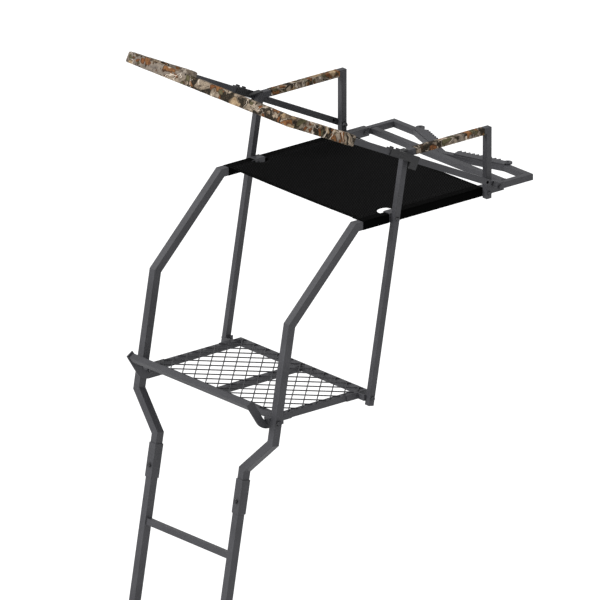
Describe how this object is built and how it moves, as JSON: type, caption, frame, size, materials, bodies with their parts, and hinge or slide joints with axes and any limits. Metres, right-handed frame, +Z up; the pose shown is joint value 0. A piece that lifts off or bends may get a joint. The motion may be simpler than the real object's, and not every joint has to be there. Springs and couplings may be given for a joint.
{
  "type": "ladder tree stand",
  "caption": "Leaning ladder stand with a mesh platform, sling seat, armrests, a padded flip-up shooting rail, a flip-up footrest and a toothed tree brace.",
  "frame": {"origin": "on the ground, midway between the ladder's two feet", "axes": "+Z up, +Y towards the tree, +X to the right of someone climbing the ladder"},
  "size_m": [0.7436, 1.497, 3.6873],
  "materials": {
    "frame_steel": "dark grey hammered powder coat",
    "mesh_steel": "dark grey powder coat, satin",
    "fasteners": "black oxide, worn on the corners",
    "sling_fabric": "black coated mesh fabric, matt",
    "camo_foam": "leaf and bark camouflage cloth over foam, matt",
    "camo_wrap": "leaf and bark camouflage cloth, matt",
    "foot_rubber": "black moulded, matt"
  },
  "bodies": {
    "stand": {"brace_bolts": "fasteners", "brace_cross_tube": "frame_steel", "brace_left_tube": "frame_steel", "brace_nuts": "fasteners", "brace_right_tube": "frame_steel", "brace_vee_tube": "frame_steel", "coupler_bolts": "fasteners", "coupler_nuts": "fasteners", "foot_caps": "foot_rubber", "footrest_pivot_bolts": "fasteners", "footrest_pivot_nuts": "fasteners", "left_armrest_cover": "camo_wrap", "left_armrest_post": "frame_steel", "left_armrest_tube": "frame_steel", "left_rear_post": "frame_steel", "left_saddle_bracket": "frame_steel", "left_tree_blade": "frame_steel", "left_upright": "frame_steel", "lower_couplers": "frame_steel", "lower_left_stile": "frame_steel", "lower_right_stile": "frame_steel", "lower_rungs": "frame_steel", "platform_bolts": "fasteners", "platform_front_lugs": "frame_steel", "platform_front_rail": "frame_steel", "platform_left_rail": "frame_steel", "platform_mesh": "mesh_steel", "platform_middle_rail": "frame_steel", "platform_nuts": "fasteners", "platform_rear_lugs": "frame_steel", "platform_rear_rail": "frame_steel", "platform_right_rail": "frame_steel", "rail_pivot_bolts": "fasteners", "rail_pivot_nuts": "fasteners", "right_armrest_cover": "camo_wrap", "right_armrest_post": "frame_steel", "right_armrest_tube": "frame_steel", "right_rear_post": "frame_steel", "right_saddle_bracket": "frame_steel", "right_tree_blade": "frame_steel", "right_upright": "frame_steel", "seat_bolts": "fasteners", "seat_nuts": "fasteners", "seat_sling": "sling_fabric", "top_couplers": "frame_steel", "upper_left_stile": "frame_steel", "upper_right_stile": "frame_steel", "upper_rungs": "frame_steel"},
    "shooting_rail": {"rail_left_arm": "frame_steel", "rail_right_arm": "frame_steel", "rail_front_bar": "frame_steel", "rail_front_pad": "camo_foam", "rail_left_pad": "camo_foam", "rail_right_pad": "camo_foam", "rail_clips": "frame_steel", "rail_clip_bolts": "fasteners"},
    "footrest": {"footrest_bar": "frame_steel", "footrest_left_plate": "frame_steel", "footrest_right_plate": "frame_steel", "footrest_bushes": "frame_steel"}
  },
  "joints": [
    {"name": "shooting_rail_pivot", "type": "hinge", "parent": "stand", "child": "shooting_rail", "pos_m": [0, 1.27403, 3.286], "axis": [-1, 0, 0], "range_deg": [0, 75]},
    {"name": "footrest_pivot", "type": "hinge", "parent": "stand", "child": "footrest", "pos_m": [0, 0.47663, 2.708], "axis": [-1, 0, 0], "range_deg": [0, 115]}
  ]
}
